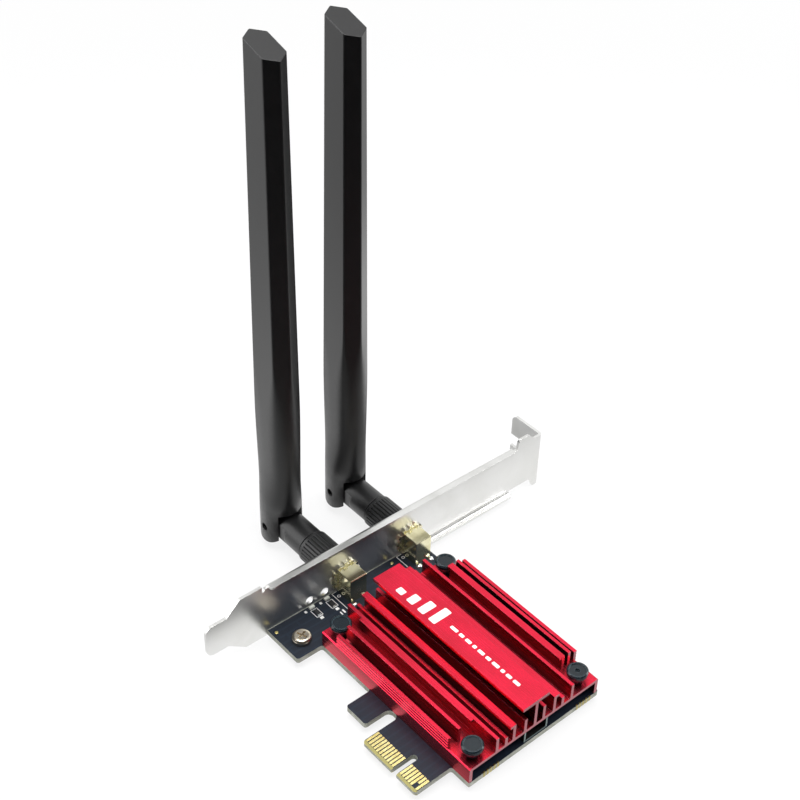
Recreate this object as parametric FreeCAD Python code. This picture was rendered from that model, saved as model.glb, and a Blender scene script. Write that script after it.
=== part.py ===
import FreeCAD, Part
import math
import os

# Wireless network card: a small circuit board with an edge connector, a folded slot bracket,
# an extruded heat sink over the radio module, and two tilting aerials screwed on coaxial jacks.
# Millimetres. +X runs along the board away from the bracket, +Y from the gold contacts up to
# the bracket's screw flange, +Z out of the component side of the board.
# The origin is the middle of the key notch, on the contact edge, halfway through the board.

V = FreeCAD.Vector
os.makedirs("parts", exist_ok=True)

# Board
boardThick = 1.6
lowerEdgeY = 11.65
boardTopY = 57.0
boardFrontX = 14.5
footY = 3.6
footX = -43.7
tabGap = 3.7
tabWide = 7.75
tabY = 3.75
outlineRound = 0.8
slotRound = 1.6
bevelRun = 0.7
bevelDrop = 0.3

# Gold contacts
contactPitch = 1.0
contactWidth = 0.7
contactStart = 0.75
contactEnd = 4.8
shortContactStart = 2.4
leftContacts = 11
rightContacts = 7
shortContact = 5
firstContact = 1.5
keyWidth = 1.9
keyDepth = 7.3
tongueMargin = 0.2
foilThick = 0.05
edgePadPitch = 1.15
edgePadWidth = 0.7
edgePadRun = 0.4
edgePadCount = 5
edgePadRows = (16.4, 48.9)

# Bracket
sheet = 0.86
bracketInX = -57.2
bracketLowZ = -1.0
bracketWidth = 18.42
bracketLength = 120.02
flangeEndY = 105.0
endTongueWidth = 10.19
endTongueLowZ = 3.1
endTongueRun = 6.5
endRound = 2.2
taperRun = 4.2
lowerTaperRun = 5.4
foldRadius = 1.2
lowerFoldRadius = 1.8
upperLipReach = 1.9
lowerLipReach = 1.5
upperLipRun = 19.32
lipEndBack = 12.8
lowerLipPast = 1.4
lipRoundShare = 0.8
reliefWidth = 0.9
reliefDeep = 1.9
reliefRound = 0.4
kinkRound = 0.6
lipEndDrop = 0.6
flangeDepth = 11.43
flangeLowZ = -2.7
flangeTopZ = 16.6
flangeCorner = 2.0
footTopBack = 2.8
footLowBack = 1.2
footRound = 1.3
shoulderZ = 19.0
shoulderBack = 9.8
shoulderFlat = 3.9
shoulderRound = 1.1
screwSlotWidth = 4.42
screwSlotMidZ = 7.1
screwSlotDeep = 5.1
lampHoleRadius = 1.25
lampHoleZ = 2.9
lampY = (17.6, 22.75)
tabFoldY = (4.9, 12.6)
tabFoldEndX = -44.6

# Board screw
screwX = -48.7
screwY = 8.7
screwRadius = 1.47
screwHeadRadius = 2.75
screwHeadHigh = 1.8
screwLength = 5.0
screwClear = 0.05
screwHeadRound = 1.0
crossHalf = 1.5
crossSlotHalf = 0.3
crossFloor = 0.7
crossTurn = 20
tabEndRound = 2.0

# Heat sink section, as (first Y, top Z) of each thin rib
sinkBackX = -43.7
sinkFrontX = 14.45
sinkFarY = 56.4
sinkFloor = 0.9
sinkFloorTopZ = 5.8
sinkLeg = 1.0
ribThick = 0.9
wallTopZ = 9.4
plainRibs = ((15.0, 10.6), (23.2, 8.4), (29.7, 10.1), (36.1, 10.3), (42.8, 8.5), (46.1, 10.6), (53.1, 10.7))
hookRibs = ((20.1, 10.4, -1), (25.8, 11.1, -1), (39.8, 11.1, 1), (50.9, 10.7, -1))
hookReach = 0.95
hookThick = 0.8
plateStartY = 28.75
plateEndY = 37.75
plateTopZ = 14.7
plateThick = 1.0
plateStemY = 33.1
ridgeCount = 4
ridgePitch = 1.0
ridgeDeep = 0.3
ridgeCut = 0.45
firstRidgeZ = 5.55
pocketRun = 8.3
pocketBackRun = 6.1
pocketDeep = (20.1, 47.6)
footFillet = 0.25

# Plastic rivets that hold the heat sink
rivetX = (-40.6, 10.9)
rivetY = (15.5, 51.9)
rivetRadius = 1.55
rivetClear = 0.05
rivetCollarLow = 1.8
rivetCollarRadius = 2.35
rivetCollarHigh = 1.95
rivetNeckRadius = 1.7
rivetNeckHigh = 0.5
rivetHeadRadius = 2.9
rivetHeadHigh = 1.2
rivetCrownCut = 0.35
rivetDishRadius = 2.25
rivetDishDeep = 0.3
rivetDimple = 0.7
rivetCore = 0.8
rivetBarb = 2.0
rivetBarbTip = 1.2
rivetBelow = 1.7
rivetNeckBelow = 0.2
rivetSplitHalf = 0.25
rivetDimpleDeep = 0.9

# Coaxial jacks
jackY = (29.65, 52.85)
axisZ = 5.3
jackBackGap = 0.75
jackLong = 5.6
jackWide = 5.7
jackTopZ = 8.8
barrelRadius = 3.175
barrelLong = 10.0
barrelBore = 2.35
barrelHoleClear = 0.1
insulatorShort = 1.2
contactRadius = 0.45
contactSocket = 0.3
contactDrop = 0.32
contactPast = 0.7
legWide = 1.0
legBelow = 0.9
legInset = 0.1
blockEdge = 0.2
barrelEdge = 0.35
blockWall = 1.0
threadClear = 0.03
washerRadius = 4.9
washerTeeth = 12
washerTooth = 0.8
toothHalf = 0.55
nutFlats = 8.0
nutThick = 1.9
nutEdge = 0.3
solderTop = 0.75
solderFoot = 1.05
solderHigh = 0.63

# Aerial: coupling nut, swivel base, pivot pin and blade
couplingGap = 0.35
couplingLong = 11.5
couplingRadius = 4.95
couplingWall = 2.0
insertRadius = 4.1
insertShort = 0.5
knurlCount = 30
knurlDeep = 0.4
knurlShare = 0.3
knurlStart = 1.4
knurlEnd = 0.8
couplingEdge = 0.45
runClear = 0.05
plugFlange = 3.6
plugFlangeLong = 2.2
stemRadius = 2.6
stemGap = 0.15
stemDeep = 3.5
plugBore = 1.5
plugPinRadius = 0.25
faceGap = 0.3
baseRadius = 4.5
baseShoulder = 1.3
pivotX = -86.4
forkRadius = 6.3
forkGap = 0.35
forkRoofGap = 1.1
tongueThick = 7.5
bossThick = 7.9
bossRadius = 2.3
forkSide = 0.12
tongueRadius = 4.6
pinRadius = 1.2
pinHalf = 4.9
bladeTopZ = 150.8
bladeTopSlope = 0.3
bladeRoot = (6.75, 3.45, 5.85)
bladeNeck = (7.3, 4.75, 4.45)
bladeHigh = (6.0, 3.75, 3.46)
rootCorner = 5.3
stickCorner = 0.6
bladeNeckZ = 25.0
crispZ = 50.0
swellSteps = 8
cornerSteps = 8
lobeLow = 5.1
lobeRound = 6.25
radiatorWide = 6.0
radiatorThick = 0.8
radiatorStart = 12.0
radiatorEnd = 12.0
radiatorRoom = 0.3

# Radio module, its socket and the small parts under the heat sink
moduleMidY = 33.85
moduleWide = 22.0
moduleLong = 30.0
moduleThick = 0.8
moduleFrontX = 3.8
moduleLowZ = 1.9
shieldWide = 19.0
shieldLong = 18.0
shieldHigh = 1.5
shieldBackX = -22.0
shieldSheet = 0.25
socketBackX = -0.2
socketFrontX = 6.0
socketTopZ = 3.4
socketSide = 0.6
standoffRadius = 2.2
holdScrewRadius = 0.95
holdHeadRadius = 2.3
holdHeadHigh = 0.6
moduleNotch = 1.75
headerBackX = 8.6
headerFrontX = 14.2
headerStartY = 30.4
headerEndY = 38.5
headerTopZ = 4.5
headerWall = 0.5
headerFloor = 0.3
headerRoofBack = 0.9
headerBackWall = 1.2
headerPinBack = 0.6
headerPins = 4
headerPinPitch = 1.8
headerPin = 0.5
cableRadius = 0.38
cableOffset = 4.0
cableEndX = -38.6
cableBend = 1.6
plugRadius = 1.1
plugHigh = 0.86
receptacleRadius = 0.9
receptacleHigh = 0.5
regulatorAt = (-14.0, 17.3)
regulatorSize = (4.0, 3.6, 1.1)
inductorAt = (-22.5, 17.3)
inductorSize = (4.4, 4.2, 2.4)
capacitorSize = (1.6, 0.8, 0.8)
capacitorRow = (-8.0, -4.5, -1.0, 2.5)
capacitorY = 17.3
lampSize = (0.8, 1.6, 0.6)
lampX = -56.2
resistorSize = (1.9, 1.0, 0.4)
resistorX = -53.9

# Values that follow from the ones above
topZ = boardThick / 2
lowZ = -boardThick / 2
bracketOutX = bracketInX - sheet
bracketTopZ = bracketLowZ + bracketWidth
tipY = flangeEndY - bracketLength
upperLipStart = tipY + upperLipRun
lowerLipStart = boardTopY + lowerLipPast
lipEndY = flangeEndY - lipEndBack
shoulderStart = flangeEndY - shoulderBack
tongueLeftX = -(firstContact + (leftContacts - 1) * contactPitch + contactWidth / 2 + tongueMargin)
tongueRightX = firstContact + (rightContacts - 1) * contactPitch + contactWidth / 2 + tongueMargin
tabRightX = tongueLeftX - tabGap
tabLeftX = tabRightX - tabWide
floorLowZ = sinkFloorTopZ - sinkFloor
jackBackX = bracketInX + jackBackGap
jackFrontX = jackBackX + jackLong
barrelEndX = jackBackX - barrelLong
nutOutX = bracketOutX - nutThick
couplingStartX = nutOutX - couplingGap
couplingEndX = couplingStartX - couplingLong
flangeFrontX = barrelEndX - faceGap
flangeBackX = flangeFrontX - plugFlangeLong
cavityEndX = couplingEndX + couplingWall
baseStartX = couplingEndX - stemGap
baseEndX = pivotX + forkRadius + forkGap
forkRoof = baseRadius + forkRoofGap
moduleTopZ = moduleLowZ + moduleThick
moduleBackX = moduleFrontX - moduleLong
shieldTopZ = moduleTopZ + shieldHigh


def box(x0, x1, y0, y1, z0, z1):
    return Part.makeBox(x1 - x0, y1 - y0, z1 - z0, V(x0, y0, z0))


def rodX(radius, x0, x1, y, z):
    return Part.makeCylinder(radius, abs(x1 - x0), V(min(x0, x1), y, z), V(1, 0, 0))


def rodY(radius, y0, y1, x, z):
    return Part.makeCylinder(radius, y1 - y0, V(x, y0, z), V(0, 1, 0))


def rodZ(radius, z0, z1, x, y):
    return Part.makeCylinder(radius, z1 - z0, V(x, y, z0), V(0, 0, 1))


def fuse(shapes):
    first = shapes[0]
    if len(shapes) == 1:
        return first
    return first.multiFuse(shapes[1:]).removeSplitter()


def cut(shape, tools):
    return shape.cut(fuse(tools)) if tools else shape


def slab(points, depth):
    """Face through the points, pushed along the vector."""
    wire = Part.makePolygon([V(*p) for p in points] + [V(*points[0])])
    return Part.Face(wire).extrude(depth)


def roundedOutline(points, radii):
    """Closed flat outline in which each corner that has a radius is an arc."""
    count = len(points)
    edges = []
    starts = []
    ends = []
    for i in range(count):
        here = V(*points[i])
        before = V(*points[i - 1])
        after = V(*points[(i + 1) % count])
        toBefore = (before - here).normalize()
        toAfter = (after - here).normalize()
        half = toBefore.getAngle(toAfter) / 2
        if radii[i] <= 0:
            starts.append(here)
            ends.append(here)
            edges.append(None)
            continue
        run = radii[i] / math.tan(half)
        bisect = (toBefore + toAfter).normalize()
        middle = here + bisect * (radii[i] / math.sin(half) - radii[i])
        starts.append(here + toBefore * run)
        ends.append(here + toAfter * run)
        edges.append(Part.Arc(starts[i], middle, ends[i]).toShape())
    path = []
    for i in range(count):
        if edges[i] is not None:
            path.append(edges[i])
        path.append(Part.LineSegment(ends[i], starts[(i + 1) % count]).toShape())
    return Part.Wire(path)


def roundedSlab(points, radii, depth):
    return Part.Face(roundedOutline(points, radii)).extrude(depth)


def group(shapes):
    return Part.makeCompound(shapes)


def save(name, shape):
    shape.exportStep("parts/" + name + ".step")
    print(name, len(shape.Solids), round(shape.Volume, 1))


def makeBoard():
    keyHalf = keyWidth / 2
    r = outlineRound
    corners = [
        ((bracketInX, footY), 0), ((footX, footY), r), ((footX, lowerEdgeY), r),
        ((tabLeftX, lowerEdgeY), r), ((tabLeftX, tabY), r), ((tabRightX, tabY), r),
        ((tabRightX, lowerEdgeY), slotRound), ((tongueLeftX, lowerEdgeY), slotRound),
        ((tongueLeftX, 0), r), ((-keyHalf, 0), 0), ((-keyHalf, keyDepth), keyHalf * 0.98),
        ((keyHalf, keyDepth), keyHalf * 0.98), ((keyHalf, 0), 0), ((tongueRightX, 0), r),
        ((tongueRightX, lowerEdgeY), r), ((boardFrontX, lowerEdgeY), r / 2),
        ((boardFrontX, boardTopY), r / 2), ((bracketInX, boardTopY), 0)]
    points = [(x, y, lowZ) for (x, y), _ in corners]
    board = roundedSlab(points, [radius for _, radius in corners], V(0, 0, boardThick))
    for side in (1, -1):
        edge = side * topZ
        inner = side * (topZ - bevelDrop)
        wedge = slab([(tongueLeftX - 1, -1, edge), (tongueLeftX - 1, bevelRun, edge),
                      (tongueLeftX - 1, 0, inner), (tongueLeftX - 1, -1, inner)],
                     V(tongueRightX - tongueLeftX + 2, 0, 0))
        board = board.cut(wedge)
    holes = [rodZ(rivetRadius + rivetClear, lowZ - 1, topZ + 1, x, y) for x in rivetX for y in rivetY]
    holes.append(rodZ(screwRadius + screwClear, lowZ - 1, topZ + 1, screwX, screwY))
    for y in jackY:
        holes += [pin for pin in jackLegs(y, lowZ - 1, topZ + 1, 0.05)]
        holes.append(rodZ(contactDrop + 0.05, lowZ - 1, topZ + 1, jackBackX + jackLong / 2, y))
    return cut(board, holes)


def contactX():
    left = [-(firstContact + i * contactPitch) for i in reversed(range(leftContacts))]
    right = [firstContact + i * contactPitch for i in range(rightContacts)]
    return left, right


def makeContacts(z0):
    left, right = contactX()
    pads = []
    for i, x in enumerate(left + right):
        start = shortContactStart if i == leftContacts + shortContact else contactStart
        pads.append(box(x - contactWidth / 2, x + contactWidth / 2, start, contactEnd, z0, z0 + foilThick))
    return group(pads)


def makeEdgePads():
    pads = []
    for start in edgePadRows:
        for i in range(edgePadCount):
            y = start + i * edgePadPitch
            onTop = box(boardFrontX - edgePadRun, boardFrontX + foilThick, y, y + edgePadWidth,
                        topZ, topZ + foilThick)
            onEdge = box(boardFrontX, boardFrontX + foilThick, y, y + edgePadWidth, lowZ, topZ)
            pads.append(fuse([onTop, onEdge]))
    return group(pads)


def foldedLip(y0, y1, zOuter, upward, reach, radius):
    """Strip folded inwards along one long edge of the bracket."""
    s = 1 if upward else -1
    bend = zOuter - s * radius
    x0 = bracketOutX + radius
    x1 = bracketInX + reach
    mid = math.sqrt(0.5)
    inner = radius - sheet
    outerArc = Part.Arc(V(bracketOutX, y0, bend), V(x0 - radius * mid, y0, bend + s * radius * mid),
                        V(x0, y0, zOuter)).toShape()
    innerArc = Part.Arc(V(x0, y0, zOuter - s * sheet), V(x0 - inner * mid, y0, bend + s * inner * mid),
                        V(bracketInX, y0, bend)).toShape()
    wire = Part.Wire([
        outerArc,
        Part.LineSegment(V(x0, y0, zOuter), V(x1, y0, zOuter)).toShape(),
        Part.LineSegment(V(x1, y0, zOuter), V(x1, y0, zOuter - s * sheet)).toShape(),
        Part.LineSegment(V(x1, y0, zOuter - s * sheet), V(x0, y0, zOuter - s * sheet)).toShape(),
        innerArc,
        Part.LineSegment(V(bracketInX, y0, bend), V(bracketOutX, y0, bend)).toShape()])
    lip = Part.Face(wire).extrude(V(0, y1 - y0, 0))
    ends = [e for e in lip.Edges
            if abs(e.CenterOfMass.x - x1) < 0.01 and abs(e.Vertexes[0].Y - e.Vertexes[-1].Y) < 0.01]
    return lip.makeFillet((x1 - x0) * lipRoundShare, ends)


def bracketPlate():
    bendTop = bracketTopZ - foldRadius
    bendLow = bracketLowZ + lowerFoldRadius
    endTop = endTongueLowZ + endTongueWidth
    neckY = tipY + endTongueRun
    fullY = neckY + taperRun
    bendY = flangeEndY - foldRadius
    reliefY = upperLipStart - reliefWidth
    outline = [
        ((tipY, endTongueLowZ), endRound), ((tipY, endTop), endRound), ((neckY, endTop), kinkRound),
        ((fullY, bracketTopZ), kinkRound), ((reliefY - reliefWidth, bracketTopZ), 0),
        ((reliefY - reliefWidth, bracketTopZ - reliefDeep), reliefRound),
        ((reliefY, bracketTopZ - reliefDeep), reliefRound),
        ((reliefY, bendTop), 0), ((lipEndY + reliefWidth, bendTop), 0),
        ((lipEndY + reliefWidth, bendTop - lipEndDrop), 0),
        ((shoulderStart - lipEndDrop, bendTop - lipEndDrop), 0),
        ((shoulderStart, shoulderZ), shoulderRound),
        ((shoulderStart + shoulderFlat, shoulderZ), shoulderRound),
        ((shoulderStart + shoulderFlat + shoulderZ - flangeTopZ, flangeTopZ), kinkRound),
        ((bendY, flangeTopZ), 0), ((bendY, flangeLowZ), 0),
        ((bendY - footLowBack, flangeLowZ), reliefRound),
        ((bendY - footTopBack, bendLow), footRound),
        ((lowerLipStart - reliefWidth, bendLow), 0), ((lowerLipStart - reliefWidth, bracketLowZ), 0),
        ((neckY + lowerTaperRun, bracketLowZ), kinkRound), ((neckY, endTongueLowZ), kinkRound)]
    points = [(bracketOutX, y, z) for (y, z), _ in outline]
    return roundedSlab(points, [radius for _, radius in outline], V(sheet, 0, 0))


def bracketFlange():
    r = foldRadius
    mid = math.sqrt(0.5)
    inner = r - sheet
    centre = V(bracketInX - r, flangeEndY - r, flangeLowZ)
    tipX = bracketOutX - flangeDepth
    z = flangeLowZ
    wire = Part.Wire([
        Part.Arc(V(bracketInX, centre.y, z), V(centre.x + r * mid, centre.y + r * mid, z),
                 V(centre.x, flangeEndY, z)).toShape(),
        Part.LineSegment(V(centre.x, flangeEndY, z), V(tipX, flangeEndY, z)).toShape(),
        Part.LineSegment(V(tipX, flangeEndY, z), V(tipX, flangeEndY - sheet, z)).toShape(),
        Part.LineSegment(V(tipX, flangeEndY - sheet, z), V(centre.x, flangeEndY - sheet, z)).toShape(),
        Part.Arc(V(centre.x, flangeEndY - sheet, z),
                 V(centre.x + inner * mid, centre.y + inner * mid, z),
                 V(bracketOutX, centre.y, z)).toShape(),
        Part.LineSegment(V(bracketOutX, centre.y, z), V(bracketInX, centre.y, z)).toShape()])
    flange = Part.Face(wire).extrude(V(0, 0, flangeTopZ - flangeLowZ))
    corners = [e for e in flange.Edges if abs(e.CenterOfMass.x - tipX) < 0.01
               and abs(e.Vertexes[0].Y - e.Vertexes[-1].Y) > sheet / 2]
    flange = flange.makeFillet(flangeCorner, corners)
    y0 = flangeEndY - sheet - 1
    y1 = flangeEndY + 1
    half = screwSlotWidth / 2
    slotEnd = tipX + screwSlotDeep - half
    slot = [box(tipX - 1, slotEnd, y0, y1, screwSlotMidZ - half, screwSlotMidZ + half),
            rodY(half, y0, y1, slotEnd, screwSlotMidZ)]
    return cut(flange, slot)


def bracketTab():
    """Ear folded under the board, which the board screw bites into."""
    y0 = tabFoldY[0]
    r = sheet
    mid = math.sqrt(0.5)
    centre = V(bracketInX, y0, lowZ)
    wire = Part.Wire([
        Part.LineSegment(V(bracketInX, y0, lowZ), V(tabFoldEndX, y0, lowZ)).toShape(),
        Part.LineSegment(V(tabFoldEndX, y0, lowZ), V(tabFoldEndX, y0, lowZ - sheet)).toShape(),
        Part.LineSegment(V(tabFoldEndX, y0, lowZ - sheet), V(bracketInX, y0, lowZ - sheet)).toShape(),
        Part.Arc(V(bracketInX, y0, lowZ - sheet), V(centre.x - r * mid, y0, centre.z - r * mid),
                 V(bracketOutX, y0, lowZ)).toShape(),
        Part.LineSegment(V(bracketOutX, y0, lowZ), V(bracketOutX, y0, lowZ + 1)).toShape(),
        Part.LineSegment(V(bracketOutX, y0, lowZ + 1), V(bracketInX, y0, lowZ + 1)).toShape(),
        Part.LineSegment(V(bracketInX, y0, lowZ + 1), V(bracketInX, y0, lowZ)).toShape()])
    tab = Part.Face(wire).extrude(V(0, tabFoldY[1] - y0, 0))
    ends = [e for e in tab.Edges if abs(e.CenterOfMass.x - tabFoldEndX) < 0.01
            and abs(e.Vertexes[0].Y - e.Vertexes[-1].Y) < 0.01]
    tab = tab.makeFillet(tabEndRound, ends)
    return tab.cut(rodZ(screwRadius + screwClear, lowZ - 3, lowZ + 1, screwX, screwY))


def makeBracket():
    sheetMetal = fuse([bracketPlate(), bracketFlange(), bracketTab(),
                       foldedLip(upperLipStart, lipEndY, bracketTopZ, True, upperLipReach, foldRadius),
                       foldedLip(lowerLipStart, lipEndY, bracketLowZ, False, lowerLipReach, lowerFoldRadius)])
    holes = [rodX(barrelRadius + barrelHoleClear, bracketOutX - 1, bracketInX + 1, y, axisZ) for y in jackY]
    holes += [rodX(lampHoleRadius, bracketOutX - 1, bracketInX + 1, y, lampHoleZ) for y in lampY]
    return cut(sheetMetal, holes)


def makeBoardScrew():
    head = rodZ(screwHeadRadius, topZ, topZ + screwHeadHigh, screwX, screwY)
    top = [e for e in head.Edges if abs(e.CenterOfMass.z - topZ - screwHeadHigh) < 0.01]
    head = head.makeFillet(screwHeadRound, top)
    shank = rodZ(screwRadius, topZ - screwLength + boardThick, topZ, screwX, screwY)
    recess = []
    for angle in (0, 90):
        wing = box(-crossHalf, crossHalf, -crossSlotHalf, crossSlotHalf, topZ + crossFloor,
                   topZ + screwHeadHigh + 1)
        wing.rotate(V(0, 0, 0), V(0, 0, 1), angle + crossTurn)
        wing.translate(V(screwX, screwY, 0))
        recess.append(wing)
    return cut(fuse([head, shank]), recess)


def sinkRibs():
    z0 = sinkFloorTopZ - sinkFloor / 2
    ribs = [box(sinkBackX, sinkFrontX, y, y + ribThick, z0, top) for y, top in plainRibs]
    for y, top, side in hookRibs:
        ribs.append(box(sinkBackX, sinkFrontX, y, y + ribThick, z0, top))
        y0 = y - hookReach if side < 0 else y
        ribs.append(box(sinkBackX, sinkFrontX, y0, y0 + ribThick + hookReach, top - hookThick, top))
    ribs.append(box(sinkBackX, sinkFrontX, plateStemY, plateStemY + ribThick, z0, plateTopZ - plateThick / 2))
    ribs.append(box(sinkBackX, sinkFrontX, plateStartY, plateEndY, plateTopZ - plateThick, plateTopZ))
    return ribs


def sinkFeet():
    """Small rounded feet where the ribs meet the floor, as an extruded section has."""
    feet = []
    f = footFillet
    starts = [rib[0] for rib in plainRibs + hookRibs] + [plateStemY]
    for y in starts:
        for edge, s in ((y, -1), (y + ribThick, 1)):
            feet.append(slab([(sinkBackX, edge - s * 0.1, sinkFloorTopZ - 0.1),
                              (sinkBackX, edge - s * 0.1, sinkFloorTopZ + f),
                              (sinkBackX, edge, sinkFloorTopZ + f),
                              (sinkBackX, edge + s * f, sinkFloorTopZ),
                              (sinkBackX, edge + s * f, sinkFloorTopZ - 0.1)],
                             V(sinkFrontX - sinkBackX, 0, 0)))
    return feet


def makeHeatSink():
    y0 = lowerEdgeY
    y1 = sinkFarY
    solids = [box(sinkBackX, sinkFrontX, y0, y1, floorLowZ, sinkFloorTopZ),
              box(sinkBackX, sinkFrontX, y0, y0 + sinkLeg, topZ, wallTopZ),
              box(sinkBackX, sinkFrontX, y1 - sinkLeg, y1, topZ, wallTopZ)]
    sink = fuse(solids + sinkRibs() + sinkFeet())
    cuts = []
    for i in range(ridgeCount):
        z = firstRidgeZ + i * ridgePitch
        for edge, s in ((y0, 1), (y1, -1)):
            cuts.append(slab([(sinkBackX - 1, edge - s, z), (sinkBackX - 1, edge, z),
                              (sinkBackX - 1, edge + s * ridgeDeep, z + ridgeCut / 2),
                              (sinkBackX - 1, edge, z + ridgeCut), (sinkBackX - 1, edge - s, z + ridgeCut)],
                             V(sinkFrontX - sinkBackX + 2, 0, 0)))
    for x0, x1 in ((sinkBackX - 1, sinkBackX + pocketBackRun), (sinkFrontX - pocketRun, sinkFrontX + 1)):
        cuts.append(box(x0, x1, y0 - 1, pocketDeep[0], sinkFloorTopZ, plateTopZ + 1))
        cuts.append(box(x0, x1, pocketDeep[1], y1 + 1, sinkFloorTopZ, plateTopZ + 1))
    cuts += [rodZ(rivetRadius + rivetClear, floorLowZ - 1, sinkFloorTopZ + 1, x, y)
             for x in rivetX for y in rivetY]
    return cut(sink, cuts)


def makeThermalPad():
    return box(shieldBackX + 0.5, shieldBackX + shieldLong - 0.5, moduleMidY - shieldWide / 2 + 0.5,
               moduleMidY + shieldWide / 2 - 0.5, shieldTopZ, floorLowZ)


def rivetSleeve(x, y):
    collar = Part.makeCone(rivetCollarLow, rivetCollarRadius, rivetCollarHigh, V(x, y, sinkFloorTopZ),
                           V(0, 0, 1))
    shaft = rodZ(rivetRadius, lowZ, sinkFloorTopZ, x, y)
    barb = Part.makeCone(rivetBarbTip, rivetBarb, rivetBelow - rivetNeckBelow, V(x, y, lowZ - rivetBelow),
                         V(0, 0, 1))
    neck = rodZ(rivetRadius, lowZ - rivetNeckBelow, lowZ, x, y)
    core = rodZ(rivetCore + rivetClear, lowZ - rivetBelow - 1, sinkFloorTopZ + rivetCollarHigh + 1, x, y)
    split = box(x - rivetSplitHalf, x + rivetSplitHalf, y - 3, y + 3, lowZ - rivetBelow - 1, lowZ - 0.1)
    return cut(fuse([collar, shaft, neck, barb]), [core, split])


def rivetPlunger(x, y, dimple):
    z0 = sinkFloorTopZ + rivetCollarHigh
    neck = rodZ(rivetNeckRadius, z0, z0 + rivetNeckHigh, x, y)
    head = rodZ(rivetHeadRadius, z0 + rivetNeckHigh, z0 + rivetNeckHigh + rivetHeadHigh, x, y)
    crown = [e for e in head.Edges if abs(e.CenterOfMass.z - z0 - rivetNeckHigh - rivetHeadHigh) < 0.01]
    head = head.makeChamfer(rivetCrownCut, crown)
    core = rodZ(rivetCore, lowZ - rivetBelow + 0.3, z0, x, y)
    top = z0 + rivetNeckHigh + rivetHeadHigh
    hollows = [rodZ(rivetDishRadius, top - rivetDishDeep, top + 1, x, y)]
    if dimple:
        hollows.append(rodZ(rivetDimple, top - rivetDimpleDeep, top + 1, x, y))
    return cut(fuse([neck, head, core]), hollows)


def jackLegs(y, z0, z1, clear):
    half = legWide / 2 + clear
    legs = []
    for x in (jackBackX + legWide / 2 + legInset, jackFrontX - legWide / 2 - legInset):
        for s in (-1, 1):
            yMid = y + s * (jackWide / 2 - legWide / 2 - legInset)
            legs.append(box(x - half, x + half, yMid - half, yMid + half, z0, z1))
    return legs


def makeJackBody(y):
    block = box(jackBackX, jackFrontX, y - jackWide / 2, y + jackWide / 2, topZ, jackTopZ)
    edges = [e for e in block.Edges if e.CenterOfMass.z > topZ + 0.1]
    block = block.makeChamfer(blockEdge, edges)
    barrel = rodX(barrelRadius, barrelEndX, jackBackX, y, axisZ)
    tip = [e for e in barrel.Edges if abs(e.CenterOfMass.x - barrelEndX) < 0.01]
    barrel = barrel.makeChamfer(barrelEdge, tip)
    legs = jackLegs(y, lowZ - legBelow, topZ + 0.2, 0)
    body = fuse([block, barrel] + legs)
    bore = rodX(barrelBore, barrelEndX - 1, jackFrontX - blockWall, y, axisZ)
    drop = rodZ(contactRadius + 0.4, topZ - 1, axisZ, jackBackX + jackLong / 2, y)
    return cut(body, [bore, drop])


def makeJackInsulator(y):
    sleeve = rodX(barrelBore, barrelEndX + insulatorShort, jackFrontX - blockWall, y, axisZ)
    middle = jackBackX + jackLong / 2
    start = barrelEndX + insulatorShort - 1
    return cut(sleeve, [rodX(contactRadius, start, middle + contactPast, y, axisZ),
                        rodZ(contactDrop, topZ, axisZ, middle, y)])


def makeJackContact(y):
    middle = jackBackX + jackLong / 2
    start = barrelEndX + insulatorShort
    wire = rodX(contactRadius, start, middle + contactPast, y, axisZ)
    drop = rodZ(contactDrop, lowZ - legBelow, axisZ, middle, y)
    socket = rodX(contactSocket, start - 1, start + 3.5, y, axisZ)
    return cut(fuse([wire, drop]), [socket])


def toothedWasher(y):
    ring = rodX(washerRadius - washerTooth, bracketInX, jackBackX, y, axisZ)
    teeth = []
    for i in range(washerTeeth):
        tooth = box(bracketInX, jackBackX, -toothHalf, toothHalf, washerRadius - 2 * washerTooth,
                    washerRadius)
        tooth.rotate(V(bracketInX, 0, 0), V(1, 0, 0), i * 360 / washerTeeth)
        tooth.translate(V(0, y, axisZ))
        teeth.append(tooth)
    blank = fuse([ring] + teeth)
    blank = blank.cut(rodX(barrelRadius + threadClear, bracketInX - 1, jackBackX + 1, y, axisZ))
    return blank.cut(box(bracketInX - 1, jackBackX + 1, y - 9, y + 9, topZ - 9, topZ + 0.02))


def hexNut(y):
    side = nutFlats / math.sqrt(3)
    points = []
    for i in range(6):
        a = math.radians(60 * i)
        points.append((bracketOutX, y + side * math.cos(a), axisZ + side * math.sin(a)))
    nut = slab(points, V(-nutThick, 0, 0))
    limit = rodX(side - 0.25, bracketOutX, nutOutX, y, axisZ)
    rim = [e for e in limit.Edges if abs(e.CenterOfMass.x - nutOutX) < 0.01]
    nut = nut.common(limit.makeChamfer(nutEdge, rim))
    return nut.cut(rodX(barrelRadius + threadClear, nutOutX - 1, bracketOutX + 1, y, axisZ))


def makeSolderJoints():
    joints = []
    for y in jackY:
        pins = jackLegs(y, lowZ - 3, lowZ + 1, 0)
        pins.append(rodZ(contactDrop, lowZ - 3, lowZ + 1, jackBackX + jackLong / 2, y))
        for pin in pins:
            middle = pin.BoundBox.Center
            cone = Part.makeCone(solderTop, solderFoot, solderHigh, V(middle.x, middle.y, lowZ - solderHigh),
                                 V(0, 0, 1))
            joints.append(cone.cut(pin))
    return group(joints)


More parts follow.
